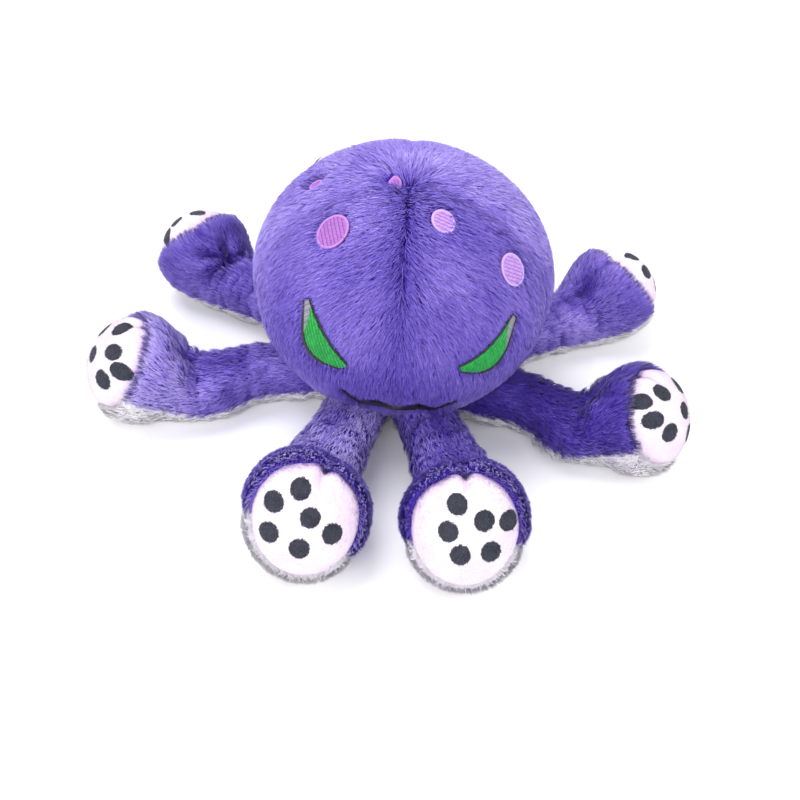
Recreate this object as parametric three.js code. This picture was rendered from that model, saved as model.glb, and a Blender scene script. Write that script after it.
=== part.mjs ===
// Plush octopus toy: a stuffed round head on a flat base, with eight short stuffed arms
// that each end in a turned-up foot with a soft toe pad. Millimetres, +Z up, and the face
// looks along -Y. The origin is the middle of the flat base, on the surface it sits on.
import * as THREE from 'three';
import { mergeVertices } from 'three/addons/utils/BufferGeometryUtils.js';

// Fabric
const FABRIC = 3;            // thickness of the fur fabric and its backing
const SEAM = 0.3;            // half of the gap left along every seam
const FILL_GAP = 2.8;        // gap between an arm's stuffing and the fabric around it
const HEAD_FILL_GAP = 1.2;   // the same in the head, whose facets are larger

// Head
const HEAD_RADIUS = 91.5;    // at its widest
const HEAD_MIDDLE = 75;      // height of the widest line
const CROWN_RISE = 76;       // widest line to crown
const HEAD_DROP = 83;        // widest line to the bottom of the full ball, cut off at the base
const CROWN_LATITUDE = 86.5; // where the panels' points meet
const CROWN_LEAN = 9.6;      // the crown, where the seams meet, leans this many degrees forward
const SIDE_SEAM = 72;        // side seams, in degrees each way from the front seam
const BASE_LATITUDE = -THREE.MathUtils.radToDeg(Math.asin((HEAD_MIDDLE - FABRIC - SEAM) / HEAD_DROP));
const BASE_RADIUS = HEAD_RADIUS * Math.cos(THREE.MathUtils.degToRad(BASE_LATITUDE)) - SEAM;

// Arms. Each one points along its heading, in degrees anticlockwise from +X as seen from above,
// on a line that passes the middle of the ring of arms at a distance aside, to its left. stretch
// makes its sleeve longer, turn bends its foot sideways at the ankle, sag bows the ankle to the
// left, and twist turns the foot about its own middle.
const ARMS = [
  { name: 'front_left_arm', heading: -107, aside: -1.4, stretch: 1.5, turn: 25, sag: 0, twist: -24 },
  { name: 'front_right_arm', heading: -70.5, aside: -5.7, stretch: 0, turn: -23.5, sag: 0, twist: 6 },
  { name: 'right_front_arm', heading: -12, aside: -33.1, stretch: -4.3, turn: -20, sag: -14, twist: -8 },
  { name: 'right_back_arm', heading: 32, aside: -33.4, stretch: -6, turn: 0, sag: 0, twist: 0 },
  { name: 'back_right_arm', heading: 72, aside: 0, stretch: 0, turn: 0, sag: 0, twist: 0 },
  { name: 'back_left_arm', heading: 107.5, aside: 0, stretch: 26, turn: 0, sag: 0, twist: 0 },
  { name: 'left_back_arm', heading: 149, aside: 21.3, stretch: -0.8, turn: -10, sag: 0, twist: -20 },
  { name: 'left_front_arm', heading: -170, aside: 25.7, stretch: 2.7, turn: 15, sag: 12, twist: 6 },
];
const RING_SET_BACK = 3;     // the ring of arms is centred a little behind the head
const HINGE_REACH = 100;     // along an arm's line to the crease where it lifts
const ARM_HEIGHT = 17.5;     // centre line of an arm above the floor
const ARM_RADIUS = 17;       // at the crease
const ANKLE_RADIUS = 20;     // where the foot starts
const SAG_REACH = 42;        // an ankle's bow fades out this far each way along the arm
const ANKLE_REACH = 127.5;   // where the foot starts to turn up
const ANKLE_BEND = 66;       // radius of that turn
const FOOT_TILT = 38;        // the toe pad faces this far above level
const FOOT_RADIUS = 31.2;
const TOE_DEPTH = 29;        // middle of the foot to the middle of the toe pad
const PAD_START = 0.36;      // the pad starts at this fraction of the toe depth
const PAD_CROWN = 0.96;      // and its last ring is at this one
const ROOT_OPENING = 6;      // radius of the hole that an arm is stuffed through
const SOLE_SPREAD = 72;      // half of the angle that the sole spans around an arm
const UNDER_SWELL = 1.1;     // the underside swells by this much before it is pressed flat

// Embroidery, placed on the head by degrees [across from the front seam, above the widest line]
const THREAD = 1;            // thickness of the stitching
const THREAD_LIFT = 0.5;     // clearance under the stitching
const OUTLINE_WIDTH = 2.8;
const GLINT_WIDTH = 1.4;
const MOUTH_WIDTH = 2.6;
const EYE_SKEW = 1.35;       // over 1, an eye is widest past its middle, nearer the nose
const EYES = [
  { name: 'eye_left', top: [-36, 22.5], tip: [-16.5, -1], bulge: 14.5, browDip: 0.6 },
  { name: 'eye_right', top: [45.5, 17.5], tip: [21.5, 1], bulge: 15, browDip: 2.4 },
];
const MOUTH = [[-20, -16.5], [-13, -23.5], [-6.5, -19.5], [1, -26.5], [8.5, -20.5], [16, -27], [25, -22]];
const SPOTS = [
  { name: 'spot_left_large', at: [-40, 48.5], radius: 9.2 },
  { name: 'spot_right_upper', at: [25, 59.5], radius: 6.6 },
  { name: 'spot_right_side', at: [51.5, 33.5], radius: 8.8 },
  { name: 'spot_crown', at: [-28, 79], radius: 3.6 },
  { name: 'spot_left_side', at: [-84, 54], radius: 4 },
];

// How finely the surfaces are faceted
const AROUND = 10;           // sides of an arm
const PANEL_LATITUDES = 13;
const PANEL_DEGREES = 12;    // width of one facet of a head panel
const ROOT_STEPS = 3;
const ANKLE_STEPS = 4;
const PAD_RINGS = 2;
const SPOT_SIDES = 12;
const EYE_STEPS = 8;
const BASE_SIDES = 30;

const colours = {
  purple: [0x7b5cc8, 0.95],
  white: [0xf3e8f4, 0.95],
  filling: [0xf6f4ee, 1],
  green: [0x1fa84a, 0.6],
  black: [0x15131a, 0.6],
  grey: [0x8d8f98, 0.6],
  pink: [0xd18be2, 0.6],
};

const materials = {};
for (const [name, [color, roughness]] of Object.entries(colours)) {
  materials[name] = new THREE.MeshStandardMaterial({ name, color, roughness, metalness: 0 });
}

const rad = THREE.MathUtils.degToRad;
const { lerp } = THREE.MathUtils;
const toy = new THREE.Group();
toy.name = 'plush_octopus';

function addPiece(group, name, geometry, material) {
  const piece = new THREE.Mesh(geometry, material);
  piece.name = name;
  group.add(piece);
}

// Makes one closed body from a list of faces, each three or four points anticlockwise from outside.
function bodyFromFaces(faces) {
  const positions = [];
  for (const face of faces) {
    for (let corner = 1; corner + 1 < face.length; corner++) {
      for (const point of [face[0], face[corner], face[corner + 1]]) {
        positions.push(point.x, point.y, point.z);
      }
    }
  }
  const geometry = new THREE.BufferGeometry();
  geometry.setAttribute('position', new THREE.Float32BufferAttribute(positions, 3));
  const merged = mergeVertices(geometry, 1e-4);
  merged.computeVertexNormals();
  return merged;
}

// A sheet of fabric. outer and inner are grids of points, outer[row][column], with the rows and
// columns turning anticlockwise as seen from outside.
function sheet(outer, inner) {
  const faces = [];
  const lastRow = outer.length - 1;
  const lastColumn = outer[0].length - 1;
  for (let row = 0; row < lastRow; row++) {
    for (let column = 0; column < lastColumn; column++) {
      const square = (grid) => [
        grid[row][column],
        grid[row][column + 1],
        grid[row + 1][column + 1],
        grid[row + 1][column],
      ];
      faces.push(square(outer));
      faces.push(square(inner).reverse());
    }
  }
  const edge = (from, to, column) => [
    outer[from][column], outer[to][column], inner[to][column], inner[from][column],
  ];
  for (let column = 0; column < lastColumn; column++) {
    const next = column + 1;
    faces.push([outer[0][next], outer[0][column], inner[0][column], inner[0][next]]);
    const [outerEnd, innerEnd] = [outer[lastRow], inner[lastRow]];
    faces.push([outerEnd[column], outerEnd[next], innerEnd[next], innerEnd[column]]);
  }
  for (let row = 0; row < lastRow; row++) {
    faces.push(edge(row, row + 1, 0));
    faces.push(edge(row + 1, row, lastColumn));
  }
  return bodyFromFaces(faces);
}

// Closed strips around rings of points, each ring joined to the next one.
function joinRings(rings) {
  const faces = [];
  for (let ring = 0; ring + 1 < rings.length; ring++) {
    const count = rings[ring].length;
    for (let i = 0; i < count; i++) {
      const next = (i + 1) % count;
      faces.push([rings[ring][i], rings[ring][next], rings[ring + 1][next], rings[ring + 1][i]]);
    }
  }
  return faces;
}

function fan(centre, ring, flip) {
  return ring.map((point, i) => {
    const next = ring[(i + 1) % ring.length];
    return flip ? [centre, next, point] : [centre, point, next];
  });
}

// A round disc of fabric or stitching, from its rim rings inwards to a centre, front and back.
function disc(frontRings, frontCentre, backRings, backCentre) {
  const faces = joinRings(frontRings);
  faces.push(...fan(frontCentre, frontRings.at(-1), false));
  faces.push(...joinRings([...backRings].reverse()));
  faces.push(...fan(backCentre, backRings.at(-1), true));
  faces.push(...joinRings([backRings[0], frontRings[0]]));
  return bodyFromFaces(faces);
}

// A solid skinned over rings, with a point at each end.
function spindle(startPoint, rings, endPoint) {
  const faces = fan(startPoint, rings[0], true);
  faces.push(...joinRings(rings));
  faces.push(...fan(endPoint, rings.at(-1), false));
  return bodyFromFaces(faces);
}

function steps(from, to, count) {
  return Array.from({ length: count + 1 }, (_, i) => lerp(from, to, i / count));
}

// ---- Head ----

function headDirection(across, above) {
  const out = Math.cos(rad(above));
  return new THREE.Vector3(out * Math.sin(rad(across)), -out * Math.cos(rad(across)), Math.sin(rad(above)));
}

// The head's surface in a direction from its middle, moved outwards by lift.
function onHead(direction, lift) {
  const half = direction.z > 0 ? CROWN_RISE : HEAD_DROP;
  return new THREE.Vector3(
    (HEAD_RADIUS + lift) * direction.x,
    (HEAD_RADIUS + lift) * direction.y,
    HEAD_MIDDLE + (half + lift) * direction.z,
  );
}

// The head's surface at degrees across from the front seam and above the widest line.
function headPoint(across, above, lift) {
  return onHead(headDirection(across, above), lift);
}

// The same for the panels, whose seams lean forward more and more towards the crown.
function panelPoint(across, above, lift) {
  const lean = rad(CROWN_LEAN) * Math.max(0, Math.sin(rad(above)));
  const direction = headDirection(across, above).applyAxisAngle(new THREE.Vector3(1, 0, 0), lean);
  return onHead(direction, lift);
}

// A head panel between two seams, with its point at the crown.
function headPanel(fromSeam, toSeam) {
  const columns = Math.round((toSeam - fromSeam) / PANEL_DEGREES);
  const grid = (lift) => steps(BASE_LATITUDE, CROWN_LATITUDE, PANEL_LATITUDES).map((above) => {
    const seam = THREE.MathUtils.radToDeg(SEAM / (HEAD_RADIUS * Math.cos(rad(above))));
    return steps(fromSeam + seam, toSeam - seam, columns).map((across) => panelPoint(across, above, lift));
  });
  return sheet(grid(0), grid(-FABRIC));
}

function headStuffing() {
  const lift = -FABRIC - HEAD_FILL_GAP;
  const rings = steps(BASE_LATITUDE + 2, 72, 8).map((above) =>
    Array.from({ length: 20 }, (_, i) => headPoint(i * 18, above, lift)));
  const bottom = new THREE.Vector3(0, 0, rings[0][0].z);
  return spindle(bottom, rings, headPoint(0, 90, lift));
}

const panels = [
  ['head_front_left_panel', -SIDE_SEAM, 0],
  ['head_front_right_panel', 0, SIDE_SEAM],
  ['head_back_right_panel', SIDE_SEAM, 180],
  ['head_back_left_panel', 180, 360 - SIDE_SEAM],
];
for (const [name, fromSeam, toSeam] of panels) {
  addPiece(toy, name, headPanel(fromSeam, toSeam), materials.purple);
}

const base = new THREE.CylinderGeometry(BASE_RADIUS, BASE_RADIUS, FABRIC, BASE_SIDES);
base.rotateX(Math.PI / 2);
base.translate(0, 0, FABRIC / 2);
addPiece(toy, 'head_base_panel', base, materials.white);
addPiece(toy, 'head_stuffing', headStuffing(), materials.filling);

// ---- Embroidery ----

// Degrees on the head for a shift in millimetres along its surface.
function shiftOnHead([across, above], right, up) {
  const half = above > 0 ? CROWN_RISE : HEAD_DROP;
  const degreesUp = THREE.MathUtils.radToDeg(up / half);
  const reach = HEAD_RADIUS * Math.cos(rad(above + degreesUp));
  return [across + THREE.MathUtils.radToDeg(right / reach), above + degreesUp];
}

// A strip of stitching along the eye, between two edges given by their depth below the brow line.
function eyeStrip(eye, from, to, nearEdge, farEdge) {
  const side = Math.sign(eye.top[0]);
  const run = [(eye.tip[0] - eye.top[0]) * HEAD_RADIUS, (eye.tip[1] - eye.top[1]) * HEAD_DROP];
  const length = Math.hypot(...run);
  const outward = [side * Math.abs(run[1]) / length, -Math.abs(run[0]) / length];
  const rows = steps(from, to, EYE_STEPS).map((along) => {
    const brow = [lerp(eye.top[0], eye.tip[0], along), lerp(eye.top[1], eye.tip[1], along)];
    const bow = Math.sin(Math.PI * along ** EYE_SKEW);
    return [nearEdge(bow), farEdge(bow)].map((depth) =>
      shiftOnHead(brow, outward[0] * depth, outward[1] * depth));
  });
  return stitchedStrip(rows, side > 0);
}

// A strip of stitching on the head, from rows of two edge places each.
function stitchedStrip(rows, flip) {
  const grid = (lift) => rows.map((row) => {
    const [near, far] = flip ? [...row].reverse() : row;
    const middle = [(near[0] + far[0]) / 2, (near[1] + far[1]) / 2];
    return [near, middle, far].map(([across, above]) => headPoint(across, above, lift));
  });
  return sheet(grid(THREAD_LIFT + THREAD), grid(THREAD_LIFT));
}

for (const eye of EYES) {
  const tipWidth = 1;
  const greenEdge = (bow) => tipWidth + (eye.bulge - tipWidth) * bow;
  const glintEdge = (bow) => greenEdge(bow) + SEAM;
  const glintFarEdge = (bow) => glintEdge(bow) + GLINT_WIDTH;
  const outlineEdge = (bow) => glintFarEdge(bow) + SEAM;
  const outlineFarEdge = (bow) => outlineEdge(bow) + lerp(tipWidth, OUTLINE_WIDTH, bow);
  addPiece(toy, `${eye.name}_green`,
    eyeStrip(eye, 0.02, 0.98, (bow) => eye.browDip * bow, greenEdge), materials.green);
  addPiece(toy, `${eye.name}_glint`,
    eyeStrip(eye, 0.04, 0.6, glintEdge, glintFarEdge), materials.grey);
  addPiece(toy, `${eye.name}_outline`,
    eyeStrip(eye, 0, 1, outlineEdge, outlineFarEdge), materials.black);
}

function mouthStitching() {
  const rows = MOUTH.map((place) =>
    [MOUTH_WIDTH / 2, -MOUTH_WIDTH / 2].map((up) => shiftOnHead(place, 0, up)));
  return stitchedStrip(rows, false);
}
addPiece(toy, 'mouth_stitching', mouthStitching(), materials.black);

function spotStitching({ at, radius }) {
  const centre = headDirection(...at);
  const right = new THREE.Vector3(0, 0, 1).cross(centre).normalize();
  const up = centre.clone().cross(right);
  const ring = (reach, lift) => Array.from({ length: SPOT_SIDES }, (_, i) => {
    const turn = (2 * Math.PI * i) / SPOT_SIDES;
    const direction = centre.clone().addScaledVector(right, (reach / HEAD_RADIUS) * Math.cos(turn));
    direction.addScaledVector(up, (reach / CROWN_RISE) * Math.sin(turn));
    return onHead(direction.normalize(), lift);
  });
  const side = (lift) => [[radius, radius / 2].map((reach) => ring(reach, lift)), headPoint(...at, lift)];
  return disc(...side(THREAD_LIFT + THREAD), ...side(THREAD_LIFT));
}

for (const spot of SPOTS) {
  addPiece(toy, spot.name, spotStitching(spot), materials.pink);
}

// ---- Arms ----

// Stations along an arm, from its rounded root to the rim of the toe pad. Each has a place on
// the centre line (x outwards, z up), a tilt, a radius and how far the foot's twist has come in.
// The foot's stations are placed for an arm that isn't stretched.
function rootStation(turn, inset) {
  const size = ARM_RADIUS - inset;
  const x = HINGE_REACH - size * Math.sin(turn);
  return { x, z: ARM_HEIGHT, tilt: 0, twisted: 0, radius: size * Math.cos(turn) };
}

function ankleStation(along, inset) {
  const tilt = rad(FOOT_TILT * along);
  const swell = along * along * (3 - 2 * along);
  return {
    x: ANKLE_REACH + ANKLE_BEND * Math.sin(tilt),
    z: ARM_HEIGHT + ANKLE_BEND * (1 - Math.cos(tilt)),
    tilt,
    twisted: swell,
    radius: lerp(ANKLE_RADIUS, FOOT_RADIUS, swell) - inset,
  };
}

function toeStation(fraction, inset) {
  const foot = ankleStation(1, inset);
  const depth = (TOE_DEPTH - inset) * fraction;
  return {
    x: foot.x + depth * Math.cos(foot.tilt),
    z: foot.z + depth * Math.sin(foot.tilt),
    tilt: foot.tilt,
    twisted: 1,
    radius: foot.radius * Math.sqrt(1 - fraction * fraction),
  };
}

// A point on an arm, at an angle in degrees from the middle of its sole. It is pressed flat
// where it lies on the floor.
function armPoint({ x, z, tilt, radius }, angle, inset) {
  const down = radius * Math.cos(rad(angle));
  const drop = down > 0 ? down * UNDER_SWELL : down;
  return new THREE.Vector3(
    x + drop * Math.sin(tilt),
    radius * Math.sin(rad(angle)),
    Math.max(inset, z - drop * Math.cos(tilt)),
  );
}

const rootTurn = Math.acos(ROOT_OPENING / ARM_RADIUS);

function armStations(inset, padFraction) {
  return [
    ...steps(rootTurn, 0, ROOT_STEPS).map((turn) => rootStation(turn, inset)),
    ...steps(0, 1, ANKLE_STEPS).map((along) => ankleStation(along, inset)),
    toeStation(padFraction / 2, inset),
    toeStation(padFraction, inset),
  ];
}

// A panel of an arm's cover between two seams, at angles in degrees around the arm.
function armPanel(fromSeam, toSeam, twist) {
  const columns = Math.round((toSeam - fromSeam) * AROUND / 360);
  const rim = PAD_START - SEAM / TOE_DEPTH;
  const grid = (inset) => armStations(inset, rim).map((station) => {
    const seam = THREE.MathUtils.radToDeg(SEAM / station.radius);
    const shift = twist * station.twisted;
    return steps(fromSeam + shift + seam, toSeam + shift - seam, columns).map((angle) =>
      armPoint(station, angle, inset));
  });
  return sheet(grid(0), grid(FABRIC));
}

function armRing(station, twist, inset) {
  const angles = steps(SOLE_SPREAD, SOLE_SPREAD + 360, AROUND).slice(0, AROUND);
  return angles.map((angle) => armPoint(station, angle + twist * station.twisted, inset));
}

function toePad(twist) {
  const rim = PAD_START + SEAM / TOE_DEPTH;
  const side = (inset) => {
    const fractions = steps(rim, PAD_CROWN, PAD_RINGS);
    const rings = fractions.map((fraction) => armRing(toeStation(fraction, inset), twist, inset));
    return [rings, armPoint(toeStation(1, inset), 0, inset)];
  };
  return disc(...side(0), ...side(FABRIC));
}

function armStuffing(twist) {
  const inset = FABRIC + FILL_GAP;
  const padFractions = steps(PAD_START, PAD_CROWN, PAD_RINGS).slice(1);
  const padStations = padFractions.map((fraction) => toeStation(fraction, inset));
  const stations = [...armStations(inset, PAD_START), ...padStations];
  const root = new THREE.Vector3(stations[0].x - 1, 0, ARM_HEIGHT);
  const rings = stations.map((station) => armRing(station, twist, inset));
  return spindle(root, rings, armPoint(toeStation(1, inset), 0, inset));
}

// Makes an arm's sleeve longer, bows its ankle sideways, and bends its foot sideways over the
// length of the ankle.
function bendArm(geometry, stretch, turn, sag) {
  const positions = geometry.getAttribute('position');
  const ankleLength = ANKLE_BEND * Math.sin(rad(FOOT_TILT));
  for (let i = 0; i < positions.count; i++) {
    const past = positions.getX(i) - ANKLE_REACH;
    const fade = THREE.MathUtils.clamp(past / SAG_REACH, -1, 1);
    const aside = positions.getY(i) + sag * Math.cos((Math.PI / 2) * fade) ** 2;
    positions.setY(i, aside);
    if (past > -SEAM) {
      const swing = rad(turn) * THREE.MathUtils.clamp(past / ankleLength, 0, 1);
      const bow = turn ? ankleLength / rad(turn) : 0;
      const straight = turn ? Math.max(past - ankleLength, 0) : past;
      const x = bow * Math.sin(swing) + straight * Math.cos(swing) - aside * Math.sin(swing);
      const y = bow * (1 - Math.cos(swing)) + straight * Math.sin(swing) + aside * Math.cos(swing);
      positions.setX(i, ANKLE_REACH + stretch + x);
      positions.setY(i, y);
    }
  }
  return geometry;
}

for (const { name, heading, aside, stretch, turn, sag, twist } of ARMS) {
  const arm = new THREE.Group();
  arm.name = name;
  arm.rotation.z = rad(heading);
  arm.position.set(-aside * Math.sin(rad(heading)), aside * Math.cos(rad(heading)) + RING_SET_BACK, 0);
  toy.add(arm);
  const pieces = [
    ['left_panel', armPanel(180, 360 - SOLE_SPREAD, twist), materials.purple],
    ['right_panel', armPanel(SOLE_SPREAD, 180, twist), materials.purple],
    ['sole', armPanel(-SOLE_SPREAD, SOLE_SPREAD, twist), materials.white],
    ['toe_pad', toePad(twist), materials.white],
    ['stuffing', armStuffing(twist), materials.filling],
  ];
  for (const [piece, geometry, material] of pieces) {
    addPiece(arm, `${name}_${piece}`, bendArm(geometry, stretch, turn, sag), material);
  }
}

export default toy;
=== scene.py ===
"""A plush octopus toy: long purple fur, embroidered face, white soles and spotted toe pads.

Lengths are in millimetres until a mesh is made. The toy sits on the floor and faces -Y.
Skins are grids of points swollen by cloth simulation, and every hair is a short tapered blade.
"""
import math

import bpy
import numpy as np
from mathutils import Matrix, Vector
from mathutils.kdtree import KDTree


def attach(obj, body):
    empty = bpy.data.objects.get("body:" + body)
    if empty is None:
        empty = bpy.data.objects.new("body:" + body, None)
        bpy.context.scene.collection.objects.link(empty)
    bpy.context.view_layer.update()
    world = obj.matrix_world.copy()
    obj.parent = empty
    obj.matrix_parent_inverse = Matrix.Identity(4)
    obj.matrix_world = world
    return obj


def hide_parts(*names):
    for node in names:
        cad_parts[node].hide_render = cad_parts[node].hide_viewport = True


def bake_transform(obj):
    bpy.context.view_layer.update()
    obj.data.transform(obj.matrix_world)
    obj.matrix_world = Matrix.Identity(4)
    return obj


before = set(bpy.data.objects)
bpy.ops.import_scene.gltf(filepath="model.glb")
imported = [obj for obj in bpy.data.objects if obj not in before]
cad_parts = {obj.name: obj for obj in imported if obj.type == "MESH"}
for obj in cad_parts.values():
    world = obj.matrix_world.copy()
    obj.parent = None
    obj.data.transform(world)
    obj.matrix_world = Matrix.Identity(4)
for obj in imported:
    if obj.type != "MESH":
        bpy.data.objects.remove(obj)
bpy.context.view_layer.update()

MM = 0.001

# ---- Driving dimensions, the same as the frame's ----

HEAD_RADIUS = 91.5
HEAD_MIDDLE = 75.0
CROWN_RISE = 76.0
HEAD_DROP = 83.0
CROWN_LEAN = math.radians(9.6)
SIDE_SEAM = 72.0
BASE_LATITUDE = -59.75
BASE_RADIUS = 45.8

# name, heading in degrees, aside, stretch, turn, sag and twist, as in the frame; then which cut
# of the printed plush its pad is, how much it wrinkles, and the painted light and shade in its
# sleeve's fur and in its foot's fur: lighter above zero, darker below, for how light falls on it
ARMS = [
    ("front_left_arm", -107.0, -1.4, 1.5, 25.0, 0.0, -24.0, "a", 0.6, 0.42, 0.34),
    ("front_right_arm", -70.5, -5.7, 0.0, -23.5, 0.0, 6.0, "b", 0.6, -0.03, 0.1),
    ("right_front_arm", -12.0, -33.1, -4.3, -20.0, -14.0, -8.0, "c", 1.2, -0.45, -0.32),
    ("right_back_arm", 32.0, -33.4, -6.0, 0.0, 0.0, 0.0, "a", 0.5, 0.14, -0.04),
    ("back_right_arm", 72.0, 0.0, 0.0, 0.0, 0.0, 0.0, "c", 0.8, 0.0, 0.0),
    ("back_left_arm", 107.5, 0.0, 26.0, 0.0, 0.0, 0.0, "b", 0.8, 0.0, 0.0),
    ("left_back_arm", 149.0, 21.3, -0.8, -10.0, 0.0, -20.0, "d", 2.0, 0.08, -0.06),
    ("left_front_arm", -170.0, 25.7, 2.7, 15.0, 12.0, 6.0, "d", 0.8, 0.08, 0.42),
]
ARMS_SET_BACK = 3.0
HINGE_REACH = 100.0
ARM_HEIGHT = 17.5
ARM_RADIUS = 17.0
ANKLE_RADIUS = 20.0
SAG_REACH = 42.0
ANKLE_REACH = 127.5
ANKLE_BEND = 66.0
FOOT_TILT = math.radians(38)
FOOT_RADIUS = 31.2
TOE_DEPTH = 29.0
PAD_START = 0.36
SOLE_SPREAD = 72.0
UNDER_SWELL = 1.1

# Sleeves start inside the head, so that the fabric closes over the seam when an arm lifts.
SLEEVE_START = 40.0
SLEEVE_FULL = 54.0
SLEEVE_NARROW = 9.0
FLOOR_GAP = 0.6
HAIR_FLOOR_GAP = 0.3

# ---- Embroidery, placed by degrees [across from the front seam, above the widest line] ----

# name, top, tip, how far the green bulges below the brow line, and how far the brow dips
EYES = [
    ("eye_left", (-36.0, 22.5), (-16.5, -1.0), 14.5, 0.6),
    ("eye_right", (45.5, 17.5), (21.5, 1.0), 15.0, 2.4),
]
EYE_SKEW = 1.35
GREEN_START = 0.13
GREEN_END = 0.98
GLINT_END = 0.36
TIP_WIDTH = 1.0
OUTLINE_WIDTH = 2.8
GLINT_WIDTH = 1.4
THREAD_GAP = 0.3
MOUTH = [(-20, -16.5), (-13, -23.5), (-6.5, -19.5), (1, -26.5), (8.5, -20.5), (16, -27), (25, -22)]
MOUTH_WIDTH = 2.6
SPOTS = [
    ("spot_left_large", (-40.0, 48.5), 9.2, "deep"),
    ("spot_right_upper", (25.0, 59.5), 6.6, "light"),
    ("spot_right_side", (51.5, 33.5), 8.8, "light"),
    ("spot_crown", (-28.0, 79.0), 3.6, "deep"),
    ("spot_left_side", (-84.0, 54.0), 4.0, "deep"),
]
SPOT_RIM = 1.2
THREAD_PITCH = 0.55
THREAD_WIDTH = THREAD_PITCH * 1.15
STITCH_LENGTH = 2.7
THREAD_HEIGHT = 0.4
STITCHING_LIFT = 2.0
MOUTH_LIFT = 2.6

# The dots on each cut of the printed plush, as places to the right and up in pad radii.
PAD_DOTS = {
    "a": [(-0.05, 0.6), (-0.5, 0.4), (0.1, 0.15), (-0.6, -0.1), (0.45, -0.15), (-0.1, -0.35)],
    "b": [(-0.2, 0.5), (0.27, 0.3), (0.7, 0.3), (-0.3, 0.05), (-0.05, -0.3), (0.45, -0.2)],
    "c": [(-0.55, 0.7), (-0.12, 0.58), (-0.65, 0.3), (-0.5, -0.1), (0.1, 0.0), (0.5, 0.35), (0.1, -0.5)],
    "d": [(-0.05, 0.7), (0.4, 0.4), (0.75, 0.25), (0.6, -0.15), (-0.45, 0.3), (0.0, -0.05), (-0.3, -0.45)],
}
DOT_RADIUS = 0.175

# ---- Fur ----

HEAD_HAIR = 9.5
ARM_HAIR = 7.5
SOLE_HAIR = 7.0
PAD_HAIR = 1.0
HAIR_WIDTH = 0.42
HEAD_DENSITY = 1.9
ARM_DENSITY = 1.7
PAD_DENSITY = 3.2
BARE_REACH = 1.3
STITCH_REACH = 1.6

# ---- Seeds of the random draws ----

NOISE_SEED = 7
HEAD_SEED = 100
ARM_SEED = 200
EYE_SEED = 300
SPOT_SEED = 320
MOUTH_SEED = 340


def smoothstep(x, low=0.0, high=1.0):
    t = np.clip((x - low) / (high - low), 0, 1)
    return t * t * (3 - 2 * t)


def hump(x, width):
    return np.exp(-(x / width) ** 2)


def unit(v):
    return v / np.maximum(np.linalg.norm(v, axis=-1, keepdims=True), 1e-9)


def turned(points, angle):
    """Points turned about the vertical axis, by radians anticlockwise as seen from above."""
    c, s = math.cos(angle), math.sin(angle)
    x, y, z = points[..., 0], points[..., 1], points[..., 2]
    return np.stack([c * x - s * y, s * x + c * y, z], axis=-1)


def sample(values, row, column):
    """A grid's values at fractional rows and columns."""
    rows, columns = values.shape[:2]
    row = np.clip(row, 0, rows - 1.001)
    column = np.clip(column, 0, columns - 1.001)
    r, c = row.astype(int), column.astype(int)
    u, v = row - r, column - c
    if values.ndim == 3:
        u, v = u[..., None], v[..., None]
    low = values[r, c] * (1 - v) + values[r, c + 1] * v
    high = values[r + 1, c] * (1 - v) + values[r + 1, c + 1] * v
    return low * (1 - u) + high * u


class Noise:
    """Smooth random values in space, between 0 and 1."""

    SIZE = 32

    def __init__(self, seed):
        self.table = np.random.default_rng(seed).random((self.SIZE,) * 3)

    def __call__(self, points, wavelength):
        place = np.asarray(points) / wavelength
        cell = np.floor(place).astype(int)
        blend = smoothstep(place - cell)
        total = np.zeros(place.shape[:-1])
        for dx in (0, 1):
            for dy in (0, 1):
                for dz in (0, 1):
                    corner = (cell + (dx, dy, dz)) % self.SIZE
                    weight = np.abs(np.array((1 - dx, 1 - dy, 1 - dz)) - blend).prod(axis=-1)
                    total += weight * self.table[corner[..., 0], corner[..., 1], corner[..., 2]]
        return total


noise = Noise(NOISE_SEED)


# ---- Camera, floor and light ----

CAMERA_PLACE = (0.0035, -0.3972, 0.3538)
CAMERA_DOWN = math.radians(44.64)
CAMERA_ROLL = math.radians(4.18)
CAMERA_LENS = 33.28
WORLD_STRENGTH = 0.82

# name, place in metres, size in metres and watts
LIGHTS = [
    ("key", (-0.5, 0.3, 1.5), 1.1, 16),
    ("front", (-0.5, -1.3, 0.8), 1.2, 12),
    ("side", (1.4, -0.3, 0.9), 1.0, 8),
]
FLOOR_HALF = 4.0


def add_camera():
    """The viewpoint: looking down on the toy's face, with a slight roll."""
    forward = Vector((0, math.cos(CAMERA_DOWN), -math.sin(CAMERA_DOWN)))
    right = Vector((1, 0, 0))
    up = right.cross(forward)
    axis_x = right * math.cos(CAMERA_ROLL) + up * math.sin(CAMERA_ROLL)
    axis_y = up * math.cos(CAMERA_ROLL) - right * math.sin(CAMERA_ROLL)
    camera = bpy.data.objects.new("camera", bpy.data.cameras.new("camera"))
    camera.data.lens = CAMERA_LENS
    camera.data.sensor_width = 36
    camera.data.clip_start = 0.01
    rotation = Matrix((axis_x, axis_y, -forward)).transposed().to_4x4()
    camera.matrix_world = Matrix.Translation(CAMERA_PLACE) @ rotation
    bpy.context.collection.objects.link(camera)
    bpy.context.scene.camera = camera


def add_area_light(name, place, size, watts):
    light = bpy.data.lights.new(name, "AREA")
    light.shape = "DISK"
    light.size = size
    light.energy = watts
    lamp = bpy.data.objects.new(name, light)
    lamp.location = place
    lamp.rotation_euler = (-Vector(place)).to_track_quat("-Z", "Y").to_euler()
    bpy.context.collection.objects.link(lamp)


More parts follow.
